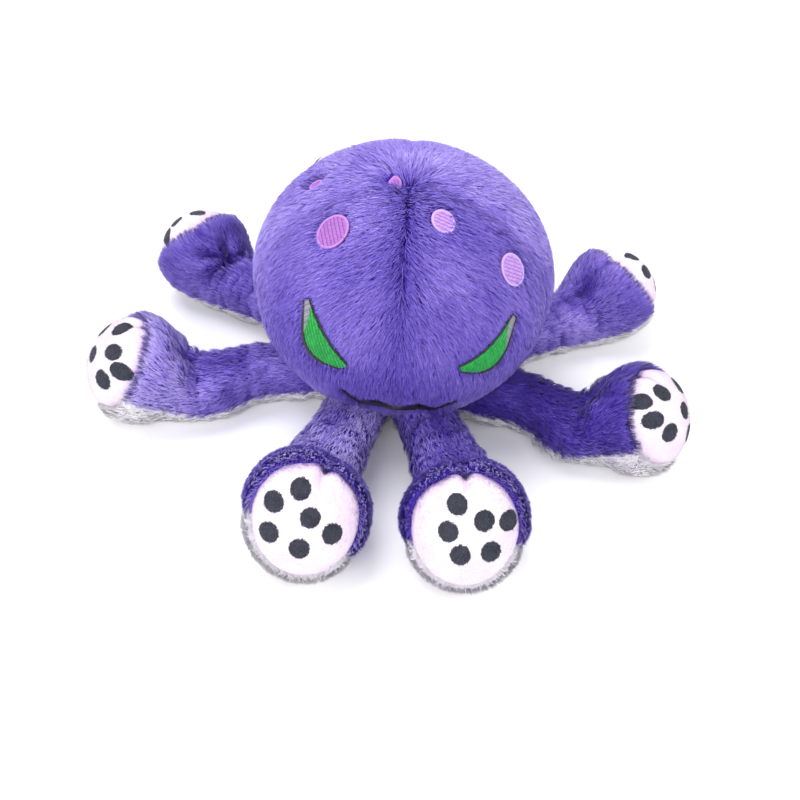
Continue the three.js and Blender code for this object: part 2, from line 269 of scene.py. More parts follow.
def add_surroundings():
    bpy.context.scene.view_settings.view_transform = "Standard"
    world = bpy.data.worlds.new("studio")
    world.use_nodes = True
    background = world.node_tree.nodes["Background"]
    background.inputs["Color"].default_value = (1, 1, 1, 1)
    background.inputs["Strength"].default_value = WORLD_STRENGTH
    bpy.context.scene.world = world
    for light in LIGHTS:
        add_area_light(*light)
    corners = [(x * FLOOR_HALF, y * FLOOR_HALF, 0) for x, y in ((-1, -1), (1, -1), (1, 1), (-1, 1))]
    floor = new_object("floor", corners, [(0, 1, 2, 3)], [plain_material("floor", "f6f6f7", 0.9)], scale=1)


# ---- Materials ----

def linear(hex_colour):
    """The linear colour of an sRGB hex string."""
    channels = [int(hex_colour[i:i + 2], 16) / 255 for i in (0, 2, 4)]
    return tuple(c / 12.92 if c <= 0.04045 else ((c + 0.055) / 1.055) ** 2.4 for c in channels) + (1,)


def plain_material(name, hex_colour, roughness, specular=0.25):
    material = bpy.data.materials.new(name)
    material.use_nodes = True
    shader = material.node_tree.nodes["Principled BSDF"]
    shader.inputs["Base Color"].default_value = linear(hex_colour)
    shader.inputs["Roughness"].default_value = roughness
    shader.inputs["Specular IOR Level"].default_value = specular
    return material


def pile_materials(name, tints, sheen, sheen_tint):
    """Hair of a few tints, which the hairs pick from one by one. Soft light runs along its edges."""
    materials = []
    for number, tint in enumerate(tints):
        material = plain_material(f"{name}_{number}", tint, 0.6)
        shader = material.node_tree.nodes["Principled BSDF"]
        shader.inputs["Sheen Weight"].default_value = sheen
        shader.inputs["Sheen Roughness"].default_value = 0.45
        shader.inputs["Sheen Tint"].default_value = linear(sheen_tint)
        materials.append(material)
    return materials


def cloth_material(name, dark, light, mottle_scale, grain_scale):
    """Knitted backing: two tints mottled together, with a fine raised grain."""
    material = plain_material(name, light, 0.85)
    nodes, links = material.node_tree.nodes, material.node_tree.links
    shader = nodes["Principled BSDF"]
    place = nodes.new("ShaderNodeTexCoord")
    mottle = nodes.new("ShaderNodeTexNoise")
    mottle.inputs["Scale"].default_value = mottle_scale
    mottle.inputs["Detail"].default_value = 4
    tints = nodes.new("ShaderNodeValToRGB")
    tints.color_ramp.elements[0].position = 0.35
    tints.color_ramp.elements[0].color = linear(dark)
    tints.color_ramp.elements[1].position = 0.65
    tints.color_ramp.elements[1].color = linear(light)
    grain = nodes.new("ShaderNodeTexNoise")
    grain.inputs["Scale"].default_value = grain_scale
    bump = nodes.new("ShaderNodeBump")
    bump.inputs["Strength"].default_value = 0.5
    bump.inputs["Distance"].default_value = 0.0006
    links.new(place.outputs["Object"], mottle.inputs["Vector"])
    links.new(mottle.outputs["Fac"], tints.inputs["Fac"])
    links.new(tints.outputs["Color"], shader.inputs["Base Color"])
    links.new(place.outputs["Object"], grain.inputs["Vector"])
    links.new(grain.outputs["Fac"], bump.inputs["Height"])
    links.new(bump.outputs["Normal"], shader.inputs["Normal"])
    return material


# ---- Meshes ----

def new_object(name, points, faces, materials, scale=MM, picks=None):
    """An object of points, and of faces given as an array or as a list of any mixture."""
    mesh = bpy.data.meshes.new(name)
    faces = faces.tolist() if isinstance(faces, np.ndarray) else faces
    mesh.from_pydata((np.asarray(points, float) * scale).tolist(), [], faces)
    for material in materials:
        mesh.materials.append(material)
    if picks is not None:
        mesh.polygons.foreach_set("material_index", np.asarray(picks, np.int32))
    mesh.shade_smooth()
    piece = bpy.data.objects.new(name, mesh)
    bpy.context.collection.objects.link(piece)
    return piece


def disc_grid(steps, radius):
    """A square grid pressed into a disc: its places down the rows, then along the columns."""
    u, v = np.meshgrid(np.linspace(-1, 1, steps), np.linspace(-1, 1, steps), indexing="ij")
    return u * np.sqrt(1 - v ** 2 / 2) * radius, v * np.sqrt(1 - u ** 2 / 2) * radius


def grid_faces(rows, columns):
    index = np.arange(rows * columns).reshape(rows, columns)
    squares = [index[:-1, :-1], index[:-1, 1:], index[1:, 1:], index[1:, :-1]]
    return np.stack(squares, axis=-1).reshape(-1, 4)


def grid_rim(index):
    """The places round the edge of a grid of indices, in order."""
    return np.concatenate([index[0, :-1], index[:-1, -1], index[-1, :0:-1], index[:0:-1, 0]])


def grid_normals(points):
    return unit(np.cross(np.gradient(points, axis=1), np.gradient(points, axis=0)))


def fabric(name, points, materials, thickness=1.5, picks=None):
    """A closed sheet: the grid of points is its face, and its back is thickness below."""
    rows, columns = points.shape[:2]
    back = points - thickness * grid_normals(points)
    count = rows * columns
    front_faces = grid_faces(rows, columns)
    back_faces = front_faces[:, ::-1] + count
    rim = grid_rim(np.arange(count).reshape(rows, columns))
    following = np.roll(rim, -1)
    wall = np.stack([following, rim, rim + count, following + count], axis=-1)
    faces = np.concatenate([front_faces, back_faces, wall])
    if picks is not None:
        picks = np.concatenate([picks.ravel(), picks.ravel(), np.zeros(len(wall), int)])
    corners = np.concatenate([points.reshape(-1, 3), back.reshape(-1, 3)])
    return new_object(name, corners, faces, materials, picks=picks)


def closed_bag(name, rings, material):
    """A closed form over rings of points, with a point at the middle of each end ring."""
    count, around = rings.shape[:2]
    index = np.arange(count * around).reshape(count, around)
    following = np.roll(index, -1, axis=1)
    sides = np.stack([index[:-1], following[:-1], following[1:], index[1:]], axis=-1).reshape(-1, 4)
    ends = []
    for number, (ring, onwards) in enumerate([(following[0], index[0]), (index[-1], following[-1])]):
        middle = count * around + number
        ends += [(middle, int(a), int(b)) for a, b in zip(ring, onwards)]
    points = np.concatenate([rings.reshape(-1, 3), [rings[0].mean(axis=0), rings[-1].mean(axis=0)]])
    return new_object(name, points, sides.tolist() + ends, [material])


# ---- Cloth simulation ----

# The cloth is simulated at five times its real size.
CLOTH_SCALE = 5 * MM
CLOTH_FRAMES = 20
CLOTH_PRESSURE = 3.0


def swell(points, pinned, slack, most):
    """How far each point of a grid of fabric rises when it is stuffed and its seams are held."""
    rows, columns = points.shape[:2]
    mesh = bpy.data.meshes.new("cloth")
    mesh.from_pydata((points.reshape(-1, 3) * CLOTH_SCALE).tolist(), [], grid_faces(rows, columns).tolist())
    piece = bpy.data.objects.new("cloth", mesh)
    bpy.context.collection.objects.link(piece)
    held = piece.vertex_groups.new(name="held")
    held.add(np.flatnonzero(pinned.ravel()).tolist(), 1.0, "REPLACE")
    settings = piece.modifiers.new("cloth", "CLOTH").settings
    settings.vertex_group_mass = "held"
    settings.use_pressure = True
    settings.uniform_pressure_force = CLOTH_PRESSURE
    settings.shrink_min = -slack
    settings.bending_stiffness = 0.4
    settings.effector_weights.gravity = 0
    for number in range(1, CLOTH_FRAMES + 1):
        bpy.context.scene.frame_set(number)
    result = piece.evaluated_get(bpy.context.evaluated_depsgraph_get()).data
    moved = np.empty(rows * columns * 3)
    result.vertices.foreach_get("co", moved)
    moved = moved.reshape(points.shape) / CLOTH_SCALE
    bpy.data.objects.remove(piece)
    bpy.context.scene.frame_set(1)
    rise = np.sum((moved - points) * grid_normals(points), axis=-1)
    return np.clip(rise, -1.0, most)


# ---- Head surface ----

def head_direction(across, above):
    """A direction from the head's middle, from degrees across from the front and above level."""
    a, b = np.radians(across), np.radians(above)
    return np.stack([np.cos(b) * np.sin(a), -np.cos(b) * np.cos(a), np.sin(b)], axis=-1)


def head_degrees(direction):
    across = np.degrees(np.arctan2(direction[..., 0], -direction[..., 1]))
    return across, np.degrees(np.arcsin(np.clip(direction[..., 2], -1, 1)))


def tip_forward(direction, lean):
    y, z = direction[..., 1], direction[..., 2]
    c, s = np.cos(lean), np.sin(lean)
    return np.stack([direction[..., 0], y * c - z * s, y * s + z * c], axis=-1)


def lean_forward(direction):
    """Seams lean forward, more and more towards the crown."""
    return tip_forward(direction, CROWN_LEAN * np.clip(direction[..., 2], 0, 1))


def lean_back(direction):
    """The direction that lean_forward takes to the given one."""
    found = direction
    for _ in range(5):
        found = tip_forward(direction, -CROWN_LEAN * np.clip(found[..., 2], 0, 1))
    return found


def on_head(direction, lift=0.0):
    half = np.where(direction[..., 2] > 0, CROWN_RISE, HEAD_DROP)
    size = np.stack([np.full_like(half, HEAD_RADIUS), np.full_like(half, HEAD_RADIUS), half], axis=-1)
    lift = np.broadcast_to(np.asarray(lift, float), half.shape)[..., None]
    return direction * (size + lift) + (0, 0, HEAD_MIDDLE)


def seam_distance(across, above, seam):
    """Distance along the head's surface from a seam."""
    turn = np.radians((across - seam + 180) % 360 - 180)
    return np.abs(turn) * HEAD_RADIUS * np.cos(np.radians(above))


HEAD_ROWS = 121
HEAD_COLUMNS = 241
HEAD_CLOTH_STEP = 3
HEAD_TOP = 89.9
SEAMS = [0.0, SIDE_SEAM, 180.0, -SIDE_SEAM]


def head_valleys(across, above):
    """How far the head's seams pull its fabric in."""
    sink = np.zeros_like(above)
    for seam in SEAMS:
        reach = smoothstep(above, 0, 35) if seam == 0 else 0.7 * smoothstep(above, -35, 10)
        if seam == 180:
            reach = reach * (1 - 0.9 * smoothstep(above, 20, 65))
        sink += 3.6 * reach * hump(seam_distance(across, above, seam), 6.0)
    crown = np.radians(90 - above) * HEAD_RADIUS
    gathers = 0.8 * np.cos(np.radians(across * 11)) * hump(crown - 13, 9)
    return np.minimum(sink, 4.2) + 1.6 * hump(crown, 12) + gathers


def head_grid():
    """The head's fabric, as degrees across and above and how far it stands out of the frame."""
    above = np.linspace(BASE_LATITUDE, HEAD_TOP, HEAD_ROWS)[:, None] * np.ones((1, HEAD_COLUMNS))
    across = np.linspace(-180, 180, HEAD_COLUMNS)[None, :] * np.ones((HEAD_ROWS, 1))
    sink = head_valleys(across, above)
    coarse = (slice(None, None, HEAD_CLOTH_STEP), slice(None, None, HEAD_CLOTH_STEP))
    pinned = np.zeros_like(above, bool)[coarse]
    pinned[0], pinned[-1] = True, True
    for seam in SEAMS + [-180.0]:
        pinned |= np.abs(across[coarse] - seam) < 1.0
    shell = on_head(lean_forward(head_direction(across, above)), -sink)
    rise = swell(shell[coarse], pinned, 0.01, 2.2)
    row, column = np.meshgrid(np.arange(HEAD_ROWS), np.arange(HEAD_COLUMNS), indexing="ij")
    return across, above, sample(rise, row / HEAD_CLOTH_STEP, column / HEAD_CLOTH_STEP) - sink


head_across, head_above, head_lift = head_grid()


def on_head_fabric(direction, lift):
    """A point above the head's fabric, in a direction from the head's middle."""
    across, above = head_degrees(lean_back(direction))
    row = (above - BASE_LATITUDE) / (HEAD_TOP - BASE_LATITUDE) * (HEAD_ROWS - 1)
    column = (across + 180) / 360 * (HEAD_COLUMNS - 1)
    return on_head(direction, sample(head_lift, row, column) + lift)


# ---- Arm surface ----
#
# s runs along an arm: 0 to 1 down the sleeve, 1 to 2 round the ankle, 2 to 3 over the toe.
# Angles are in degrees round the arm from the middle of its sole.

ANKLE_LENGTH = ANKLE_BEND * math.sin(FOOT_TILT)
PAD_RIM = math.sqrt(1 - PAD_START ** 2)


def arm_point(x, z, tilt, radius, angle):
    down = radius * np.cos(np.radians(angle))
    drop = np.where(down > 0, down * UNDER_SWELL, down)
    height = np.maximum(FLOOR_GAP, z - drop * np.cos(tilt))
    return np.stack([x + drop * np.sin(tilt), radius * np.sin(np.radians(angle)), height], axis=-1)


def arm_surface(s, angle, twist):
    """Points on a straight arm along +X."""
    sleeve, ankle, toe = np.clip(s, 0, 1), np.clip(s - 1, 0, 1), np.clip(s - 2, 0, 1)
    tilt = FOOT_TILT * ankle
    x = SLEEVE_START + (ANKLE_REACH - SLEEVE_START) * sleeve
    mouth = SLEEVE_NARROW * (1 - smoothstep(x, SLEEVE_START, SLEEVE_FULL))
    z = ARM_HEIGHT + ANKLE_BEND * (1 - np.cos(tilt)) + TOE_DEPTH * toe * np.sin(tilt)
    widening = (ANKLE_RADIUS - ARM_RADIUS) * np.clip((x - HINGE_REACH) / (ANKLE_REACH - HINGE_REACH), 0, 1)
    x = x + ANKLE_BEND * np.sin(tilt) + TOE_DEPTH * toe * np.cos(tilt)
    radius = ARM_RADIUS + widening + (FOOT_RADIUS - ANKLE_RADIUS) * smoothstep(ankle) - mouth
    radius = radius * np.sqrt(np.maximum(1 - toe ** 2, 0))
    return arm_point(x, z, tilt, radius, angle + twist * smoothstep(ankle))


def pad_surface(right, up, twist):
    """Points on the toe pad of a straight arm, from places in foot radii."""
    turn = math.radians(twist)
    side = right * math.cos(turn) - up * math.sin(turn)
    rise = right * math.sin(turn) + up * math.cos(turn)
    depth = TOE_DEPTH * np.sqrt(np.maximum(1 - side ** 2 - rise ** 2, 0))
    x = ANKLE_REACH + ANKLE_LENGTH + depth * math.cos(FOOT_TILT)
    z = ARM_HEIGHT + ANKLE_BEND * (1 - math.cos(FOOT_TILT)) + depth * math.sin(FOOT_TILT)
    down = -rise * FOOT_RADIUS
    drop = np.where(down > 0, down * UNDER_SWELL, down)
    height = np.maximum(FLOOR_GAP, z - drop * math.cos(FOOT_TILT))
    return np.stack([x + drop * math.sin(FOOT_TILT), side * FOOT_RADIUS, height], axis=-1)


def bend_arm(points, stretch, turn, sag):
    """Makes a straight arm's sleeve longer, bows its ankle to the left and bends its foot sideways."""
    x, y, z = points[..., 0], points[..., 1], points[..., 2]
    past = x - ANKLE_REACH
    y = y + sag * np.cos(np.pi / 2 * np.clip(past / SAG_REACH, -1, 1)) ** 2
    sleeve = x + stretch * np.clip((x - HINGE_REACH) / (ANKLE_REACH - HINGE_REACH), 0, 1)
    if turn == 0:
        return np.stack([sleeve, y, z], axis=-1)
    swing = math.radians(turn) * np.clip(past / ANKLE_LENGTH, 0, 1)
    bow = ANKLE_LENGTH / math.radians(turn)
    straight = np.maximum(past - ANKLE_LENGTH, 0)
    bent_x = ANKLE_REACH + stretch + bow * np.sin(swing) + straight * np.cos(swing) - y * np.sin(swing)
    bent_y = bow * (1 - np.cos(swing)) + straight * np.sin(swing) + y * np.cos(swing)
    foot = past > 0
    return np.stack([np.where(foot, bent_x, sleeve), np.where(foot, bent_y, y), z], axis=-1)


def arm_place(points, heading, aside):
    """A straight arm's points where the arm is on the toy."""
    angle = math.radians(heading)
    return turned(points, angle) + (-aside * math.sin(angle), aside * math.cos(angle) + ARMS_SET_BACK, 0)


SIM_S = np.concatenate([np.linspace(0, 1, 24), np.linspace(1, 2, 18)[1:], [2.12, 2.24, 2 + PAD_START]])
SIM_STEP = 6.0
SIM_ANGLES = np.arange(-SOLE_SPREAD, 361 - SOLE_SPREAD, SIM_STEP)
ARM_SEAMS = [-SOLE_SPREAD, SOLE_SPREAD, 180.0, 360 - SOLE_SPREAD]


def arm_swelling():
    """How far an arm's fabric swells between its seams, as a grid over SIM_S and SIM_ANGLES."""
    s, angle = np.meshgrid(SIM_S, SIM_ANGLES, indexing="ij")
    pinned = np.isin(angle, ARM_SEAMS) | (s == SIM_S[0]) | (s == SIM_S[-1])
    return swell(arm_surface(s, angle, 0.0), pinned, 0.05, 1.8)


def pad_swelling(right, up):
    """How far a toe pad swells inside its seam."""
    edge = np.hypot(right, up) > 0.97 * PAD_RIM
    return swell(pad_surface(right, up, 0.0), edge, 0.02, 1.5)


GATHER_S = 1.22
arm_rise = arm_swelling()


def arm_relief(s, angle, points, wrinkling):
    """How far an arm's fabric stands out: swelling, seams, wrinkles and the ankle's gather."""
    row = np.interp(s, SIM_S, np.arange(len(SIM_S)))
    column = ((angle + SOLE_SPREAD) % 360) / SIM_STEP
    around = np.radians(angle - 180) * np.where(s > 1, ARM_RADIUS + 14 * smoothstep(s, 1, 2), ARM_RADIUS)
    edge = np.radians(np.abs(np.abs((angle + 180) % 360 - 180) - SOLE_SPREAD)) * ARM_RADIUS
    relief = sample(arm_rise, row, column) - 1.7 * hump(around, 3.2) - 1.0 * hump(edge, 2.5)
    rim = (2 + PAD_START - s) * TOE_DEPTH
    relief = relief - np.where(s > 2, 1.2 * hump(rim, 2.5), 0)
    along = np.where(s > 1, (s - GATHER_S) * ANKLE_LENGTH, (s - 1) * (ANKLE_REACH - SLEEVE_START)
                     - (GATHER_S - 1) * ANKLE_LENGTH)
    reach = np.hypot(along, around)
    swirl = np.arctan2(around, along)
    creases = 1.3 * wrinkling * np.cos(swirl * 7) * smoothstep(reach, 3, 9) * hump(reach - 12, 13)
    relief = relief - (2.6 + 1.4 * wrinkling) * hump(reach, 5.5) + creases * smoothstep(along, -14, 2)
    notch = np.hypot(around, rim)
    relief = relief - np.where(s > 2, 2.6 * hump(notch, 4.0), 0)
    ripple = np.sin(along / 1.15 + 5 * noise(points, 30))
    band = smoothstep(along, -44, -30) * (1 - smoothstep(along, -8, 2)) * smoothstep(np.abs(around), 3, 10)
    return relief + wrinkling * ripple * band * smoothstep(noise(points + 40, 26), 0.2, 0.6)


# ---- Fur ----

class Keeper:
    """Keeps hair off the embroidery: distances to its nearest stitch, in millimetres."""

    def __init__(self, places):
        self.tree = KDTree(len(places))
        for number, place in enumerate(places):
            self.tree.insert(place, number)
        self.tree.balance()

    def distance(self, points):
        return np.array([self.tree.find(point)[2] for point in points])


def sample_grid(points, extras, density, rng):
    """Even random places on a grid surface: positions, normals and the extras' values there."""
    diagonals = points[1:, 1:] - points[:-1, :-1], points[1:, :-1] - points[:-1, 1:]
    area = 0.5 * np.linalg.norm(np.cross(*diagonals), axis=-1)
    total = area.sum()
    count = int(total * density)
    cell = rng.choice(area.size, size=count, p=(area / total).ravel())
    row, column = np.divmod(cell, area.shape[1])
    row, column = row + rng.random(count), column + rng.random(count)
    return sample(points, row, column), unit(sample(grid_normals(points), row, column)), \
        [sample(extra, row, column) for extra in extras]


def grow_fur(name, roots, normals, flow, length, tints, tone, rng, upright=0.0, first_tint=0,
             clump=2.6, pull=0.4, keeper=None):
    """Hair as tapered blades. flow is the way it is combed, upright runs from 0, combed flat, to 1,
    on end, and tone in [0, 1] picks its tint."""
    count = len(roots)
    flow = unit(flow - normals * np.sum(flow * normals, axis=-1, keepdims=True))
    side = np.cross(normals, flow)
    swing = rng.normal(0, 0.3, count)[:, None]
    along = unit(flow + side * swing)
    length = length * rng.uniform(0.7, 1.12, count)
    lift = rng.uniform(0.7, 1.25, count)
    upright = np.broadcast_to(upright, count)[:, None]
    if keeper is not None:
        gap = keeper.distance(roots)
        near = gap < length.max()
        for share in (0.9, 0.6, 0.35):
            ahead = roots[near] + along[near] * (length[near] * share)[:, None]
            meets = keeper.distance(ahead + normals[near]) < STITCH_REACH
            shortened = length[near]
            shortened[meets] *= 0.62
            length[near] = shortened
            lift[near] = np.where(meets, lift[near] * 1.3, lift[near])
    length, lift = length[:, None], lift[:, None]
    combed = along * (1 - 0.7 * upright)
    middle = roots + length * 0.5 * unit(normals * (0.62 + 0.6 * upright) * lift + combed * 0.8)
    tip = middle + length * 0.5 * unit(normals * (0.14 + 0.9 * upright) * lift + combed)

    # Hairs whose roots share a small cell lean their tips together.
    cell = np.floor(roots / clump + rng.normal(0, 0.25, roots.shape)).astype(np.int64)
    _, group = np.unique(cell, axis=0, return_inverse=True)
    group = group.ravel()
    members = np.bincount(group)
    gather = np.stack([np.bincount(group, tip[:, k]) / members for k in range(3)], axis=-1)[group]
    tip = tip + (gather - tip) * pull
    wave = (rng.random(members.size) - 0.5)[group]

    # Flat hair shows its side away from the cloth, and hair on end the side it would be combed to.
    facing = unit(normals * (1 - upright) + flow * upright)
    across = unit(np.cross(tip - roots, facing))
    roll = rng.normal(0, 0.5, count)[:, None]
    across = unit(across * np.cos(roll) + facing * np.sin(roll))
    half = (HAIR_WIDTH * 0.5 * rng.uniform(0.75, 1.25, count))[:, None]
    base = roots - normals * 0.4
    points = np.stack([base - across * half, base + across * half,
                       middle + across * half * 0.85, middle - across * half * 0.85, tip], axis=1)
    points[..., 2] = np.maximum(points[..., 2], HAIR_FLOOR_GAP)
    shade = unit(facing * 1.2 + side * (0.3 * wave[:, None] + 0.3 * swing))
    shades = np.repeat(shade[:, None, :], 5, axis=1)

    start = np.arange(count)[:, None]
    loops = np.concatenate([start * 5 + [[0, 1, 2, 3]], start * 5 + [[3, 2, 4]]], axis=1).ravel()
    starts = (start * 7 + [[0, 4]]).ravel()
    mesh = bpy.data.meshes.new(name)
    mesh.vertices.add(count * 5)
    mesh.vertices.foreach_set("co", (points.reshape(-1) * MM).astype(np.float32))
    mesh.loops.add(loops.size)
    mesh.loops.foreach_set("vertex_index", loops.astype(np.int32))
    mesh.polygons.add(starts.size)
    mesh.polygons.foreach_set("loop_start", starts.astype(np.int32))
    for tint in tints:
        mesh.materials.append(tint)
    spread = len(tints) - 2 - np.max(first_tint)
    level = tone * spread + 0.12 * spread * wave + rng.normal(0, 0.1 * spread, count)
    level = (np.clip(np.round(level), 0, spread) + first_tint).astype(np.int32)
    # Painted highlight and shade: each hair's tip takes the next lighter tint than its root half.
    picks = np.stack([level, level + 1], axis=1).ravel().astype(np.int32)
    mesh.polygons.foreach_set("material_index", picks)
    mesh.update(calc_edges=True)
    mesh.shade_smooth()
    mesh.normals_split_custom_set_from_vertices(shades.reshape(-1, 3).astype(np.float32))
    piece = bpy.data.objects.new(name, mesh)
    bpy.context.collection.objects.link(piece)
    return piece


# ---- Embroidery ----

def shift_on_head(across, above, right, up):
    """Degrees on the head for a shift in millimetres along its surface."""
    half = np.where(above > 0, CROWN_RISE, HEAD_DROP)
    risen = above + np.degrees(up / half)
    return across + np.degrees(right / (HEAD_RADIUS * np.cos(np.radians(risen)))), risen


def eye_map(top, tip):
    """A function from millimetres along and below an eye's brow line to degrees, and its length."""
    run = np.array([(tip[0] - top[0]) * HEAD_RADIUS, (tip[1] - top[1]) * HEAD_DROP])
    outward = np.array([math.copysign(abs(run[1]), top[0]), -abs(run[0])]) / np.hypot(*run)
    middle = math.radians((top[1] + tip[1]) / 2)
    length = math.radians(1) * np.hypot(run[0] * math.cos(middle), run[1])

    def place(along, depth):
        share = along / length
        across = top[0] + (tip[0] - top[0]) * share
        above = top[1] + (tip[1] - top[1]) * share
        return shift_on_head(across, above, outward[0] * depth, outward[1] * depth)

    return place, length


def spot_map(at):
    """A function from millimetres to the right and up on a spot to degrees on the head."""
    centre = head_direction(*at)
    right = unit(np.cross((0, 0, 1), centre))
    up = np.cross(centre, right)

    def place(x, y):
        x, y = np.asarray(x)[..., None], np.asarray(y)[..., None]
        return head_degrees(unit(centre + right * x / HEAD_RADIUS + up * y / CROWN_RISE))

    return place


def fill_stitches(inside, extent, slant):
    """Straight stitches that fill an outline, in rows. Their ends step along from row to row."""
    stitches = []
    direction = np.array([math.cos(slant), math.sin(slant)])
    across = np.array([-direction[1], direction[0]])
    middle, reach = np.mean(extent, axis=0), np.hypot(*(np.array(extent[1]) - extent[0])) / 2
    for row in range(int(-reach / THREAD_PITCH), int(reach / THREAD_PITCH) + 1):
        steps = np.arange(-reach, reach, STITCH_LENGTH / 12)
        line = middle + across * row * THREAD_PITCH + direction * steps[:, None]
        kept = inside(line[:, 0], line[:, 1])
        stitch = np.floor((steps + row * 0.5) / STITCH_LENGTH)
        for number in np.unique(stitch[kept]):
            run = line[kept & (stitch == number)]
            if len(run) > 3:
                stitches.append((run[0], run[-1]))
    return np.array(stitches)


def threads(place, stitches, lift):
    """Rounded threads over straight stitches on the head: their points and faces."""
    stations = [(0.0, 0.1, 0.55), (0.2, 0.85, 1.0), (0.5, 1.0, 1.0), (0.8, 0.85, 1.0), (1.0, 0.1, 0.55)]
    start, end = stitches[:, 0], stitches[:, 1]
    side = unit(np.stack([start[:, 1] - end[:, 1], end[:, 0] - start[:, 0]], axis=-1))
    points = []
    for share, rise, breadth in stations:
        middle = start + (end - start) * share
        for offset, top in ((0.5, 0.0), (0.25, 0.8), (-0.25, 0.8), (-0.5, 0.0)):
            spot = middle + side * offset * THREAD_WIDTH * breadth
            direction = head_direction(*place(spot[:, 0], spot[:, 1]))
            points.append(on_head_fabric(direction, lift + THREAD_HEIGHT * rise * (0.35 + 0.65 * top)))
    points = np.stack(points, axis=1)
    local = grid_faces(len(stations), 4)
    faces = (np.arange(len(points))[:, None, None] * len(stations) * 4 + local).reshape(-1, 4)
    return points.reshape(-1, 3), outward_faces(points.reshape(-1, 3), faces)


def outward_faces(points, faces):
    """The same faces, turned where needed to face away from the head's middle."""
    a, b, c = points[faces[:, 0]], points[faces[:, 1]], points[faces[:, 2]]
    outward = np.sum(np.cross(b - a, c - a) * (a - (0, 0, HEAD_MIDDLE)), axis=-1)
    return np.where(outward[:, None] < 0, faces[:, ::-1], faces)


stitch_places = []


def embroidery(name, backing, groups, materials, rng, lift=STITCHING_LIFT):
    """A patch of stitching that stands for its node: a backing grid of places with threads over it."""
    points = on_head_fabric(head_direction(*backing), lift - 0.25)
    faces = outward_faces(points.reshape(-1, 3), grid_faces(*points.shape[:2]))
    under = points.reshape(-1, 3) - (points.reshape(-1, 3) - (0, 0, HEAD_MIDDLE)) * 0.025
    count = len(under)
    rim = grid_rim(np.arange(count).reshape(points.shape[:2]))
    wall = np.stack([rim, np.roll(rim, -1), np.roll(rim, -1) + count, rim + count], axis=-1)
    all_points = [points.reshape(-1, 3), under]
    all_faces = [faces, faces[:, ::-1] + count, wall]
    picks = [np.zeros(len(faces) * 2 + len(wall), int)]
    total = count * 2
    for place, stitches, first, shades in groups:
        thread_points, thread_faces = threads(place, stitches, lift)
        all_points.append(thread_points)
        all_faces.append(thread_faces + total)
        total += len(thread_points)
        tint = rng.integers(0, shades, len(stitches)) + first
        picks.append(np.repeat(tint, len(thread_faces) // len(stitches)))
        stitch_places.append(thread_points[::3])
    piece = new_object(name + "_embroidery", np.concatenate(all_points), np.concatenate(all_faces),
                       materials, picks=np.concatenate(picks))
    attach(piece, "head")
    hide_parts(name)


def satin_stitches(near, far, count, slant=0.0):
    """Stitches side by side across a band, from its near edge to its far one."""
    share = np.linspace(0, 1, count)
    ahead = np.clip(share + slant, 0, 1)
    return np.stack([near(share), far(ahead)], axis=1)


def build_eye(name, top, tip, bulge, brow_dip, rng):
    place, length = eye_map(top, tip)
    bow = lambda along: np.sin(np.pi * np.clip(along / length, 0, 1) ** EYE_SKEW)
    glint = lambda along: TIP_WIDTH + (bulge - TIP_WIDTH) * bow(along) + THREAD_GAP + GLINT_WIDTH
    outer = lambda along: glint(along) + THREAD_GAP + TIP_WIDTH + (OUTLINE_WIDTH - TIP_WIDTH) * bow(along)
    brow = lambda along: brow_dip * bow(along)

    # The green narrows to a point below the eye's top, and the glint fills the wedge beside it.
    def green(along):
        share = np.clip((along / length - GREEN_START) / (GREEN_END - GREEN_START), 0, 1)
        full = glint(along) * (0.25 + 0.75 * smoothstep(share, 0, 0.3))
        return np.maximum(brow(along), np.where((share > 0) & (share < 1), full, 0))

    inner = lambda along: glint(along) + THREAD_GAP

    def band(from_depth, to_depth, low=0.0, high=1.0):
        share = np.linspace(low, high, 60)[:, None] * length * np.ones((1, 9))
        blend = np.linspace(0, 1, 9)[None, :]
        return place(share, from_depth(share) * (1 - blend) + to_depth(share) * blend)

    def part(depth, low=0.0, high=1.0):
        return lambda share: np.stack([(low + (high - low) * share) * length,
                                       depth((low + (high - low) * share) * length)], axis=-1)

    def inside(x, y):
        return (x > GREEN_START * length) & (x < GREEN_END * length) & (y > brow(x)) & (y < green(x))

    fill = fill_stitches(inside, [(0, 0), (length, bulge)], math.radians(68))
    embroidery(f"{name}_green", band(brow, green, GREEN_START, GREEN_END), [(place, fill, 1, 3)],
               green_thread, rng)

    glints = satin_stitches(part(green, 0.03, GLINT_END), part(glint, 0.03, GLINT_END), 55)
    embroidery(f"{name}_glint", band(green, glint, 0.03, GLINT_END), [(place, glints, 1, 2)],
               grey_thread, rng)

    outlines = satin_stitches(part(inner), part(outer), 120, 0.012)
    dashes = fill_stitches(lambda x, y: (np.abs(y - brow(x) + 0.8) < 0.5) & (x > 1) & (x < length - 1),
                           [(0, -1), (length, 1)], 0.04)
    embroidery(f"{name}_outline", band(inner, outer), [(place, outlines, 1, 2), (place, dashes, 1, 2)],
               black_thread, rng)


def build_spot(name, at, radius, shade, rng):
    place = spot_map(at)
    inner = radius - SPOT_RIM
    fill = fill_stitches(lambda x, y: np.hypot(x, y) < inner, [(-inner, -inner), (inner, inner)],
                         math.radians(12))
    ring = lambda reach: (lambda share: reach * np.stack([np.cos(share * 2 * np.pi),
                                                          np.sin(share * 2 * np.pi)], axis=-1))
    count = int(2 * math.pi * radius / (THREAD_PITCH * 0.9))
    rim = satin_stitches(ring(inner - 0.2), ring(radius), count)
    materials = pink_thread if shade == "deep" else lilac_thread
    embroidery(name, place(*disc_grid(25, radius)), [(place, fill, 1, 2), (place, rim, 3, 1)],
               materials, rng, lift=STITCHING_LIFT * min(1, radius / 9))


